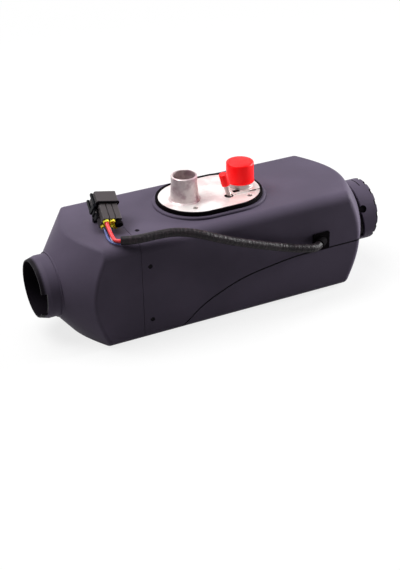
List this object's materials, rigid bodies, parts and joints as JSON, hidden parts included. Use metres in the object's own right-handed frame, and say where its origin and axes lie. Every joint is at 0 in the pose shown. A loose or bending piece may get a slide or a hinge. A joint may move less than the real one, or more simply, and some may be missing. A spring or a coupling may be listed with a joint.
{
  "type": "diesel air heater",
  "caption": "Ducted air heater with a rounded box case, round outlet collar, toothed intake cap, cast flange with exhaust and air spigots, and a wired plug.",
  "frame": {"origin": "under the middle of the case, on the surface that the heater lies on, without the harness and its plug", "axes": "+X along the air path from the outlet collar to the intake cap, +Z out of the mounting flange, +Y away from the side with the harness"},
  "size_m": [0.3604, 0.1297, 0.1336],
  "materials": {
    "case": "fine matte grain with a soft sheen",
    "black_rubber": "soft black",
    "cast_aluminium": "pressure die-cast",
    "spigot_aluminium": "as cast, a little rough",
    "heat_steel": "dull stainless",
    "zinc_steel": "zinc plated",
    "gasket_fibre": "compressed fibre",
    "magnet": "sintered",
    "armature": "varnished laminations",
    "inner_plastic": "glass-filled nylon",
    "board_green": "lacquered board",
    "cable_sleeve": "braided sleeve",
    "connector_plastic": "dark grey moulding",
    "black_plastic": "black moulding",
    "yellow_silicone": "soft, slightly translucent",
    "red_wire": "wire insulation",
    "white_wire": "wire insulation",
    "blue_wire": "wire insulation",
    "red_plastic": "soft moulded cap"
  },
  "bodies": {
    "heater": {"blanking_plug": "black_rubber", "blower_cover": "cast_aluminium", "blower_gasket": "gasket_fibre", "blower_housing": "cast_aluminium", "blower_screws": "zinc_steel", "blue_wire": "blue_wire", "burner_gasket": "gasket_fibre", "burner_head": "cast_aluminium", "burner_screws": "zinc_steel", "burner_tube": "heat_steel", "circuit_board": "board_green", "connector_clip": "black_rubber", "connector_face_seal": "black_rubber", "connector_housing": "connector_plastic", "connector_shroud": "connector_plastic", "control_box": "inner_plastic", "control_lid": "inner_plastic", "cover_shell": "case", "exhaust_spigot": "spigot_aluminium", "fan_shroud": "inner_plastic", "flange_seal": "black_rubber", "flange_shell": "case", "fuel_pipe": "zinc_steel", "glow_plug": "zinc_steel", "glow_plug_screen": "heat_steel", "harness_cable": "cable_sleeve", "harness_grommet": "black_rubber", "heat_exchanger": "cast_aluminium", "inner_lead": "black_rubber", "motor_bearings": "zinc_steel", "motor_bolts": "zinc_steel", "motor_can": "zinc_steel", "motor_end_cap": "inner_plastic", "motor_magnets": "magnet", "outlet_hood": "case", "overheat_sensor": "zinc_steel", "red_wire": "red_wire", "sensor_clip": "heat_steel", "white_wire": "white_wire", "wire_seals": "yellow_silicone"},
    "rotor": {"combustion_impeller": "cast_aluminium", "fan_nut": "zinc_steel", "fan_wheel": "inner_plastic", "motor_armature": "armature", "motor_shaft": "heat_steel"},
    "intake_cap": {"intake_grille": "case"},
    "air_transport_cap": {"transport_cap": "red_plastic"},
    "fuel_transport_cap": {"fuel_pipe_cap": "red_plastic"},
    "latch": {"connector_latch": "black_plastic"}
  },
  "joints": [
    {"name": "rotor_spin", "type": "hinge", "parent": "heater", "child": "rotor", "pos_m": [0.1, 0, 0.0495], "axis": [1, 0, 0], "continuous": true},
    {"name": "intake_cap_turn", "type": "hinge", "parent": "heater", "child": "intake_cap", "pos_m": [0.165, 0, 0.0495], "axis": [1, 0, 0], "range_deg": [0, 12]},
    {"name": "air_cap_pull", "type": "slide", "parent": "heater", "child": "air_transport_cap", "axis": [0, 0, 1], "range_m": [0, 0.026]},
    {"name": "fuel_cap_pull", "type": "slide", "parent": "heater", "child": "fuel_transport_cap", "axis": [-0.2588, 0, 0.9659], "range_m": [0, 0.018]},
    {"name": "latch_press", "type": "hinge", "parent": "heater", "child": "latch", "pos_m": [-0.11877, -0.01264, 0.11744], "axis": [0.1713, -0.5214, 0.8359], "range_deg": [0, 6], "stiffness_Nm_per_rad": 0.05}
  ]
}
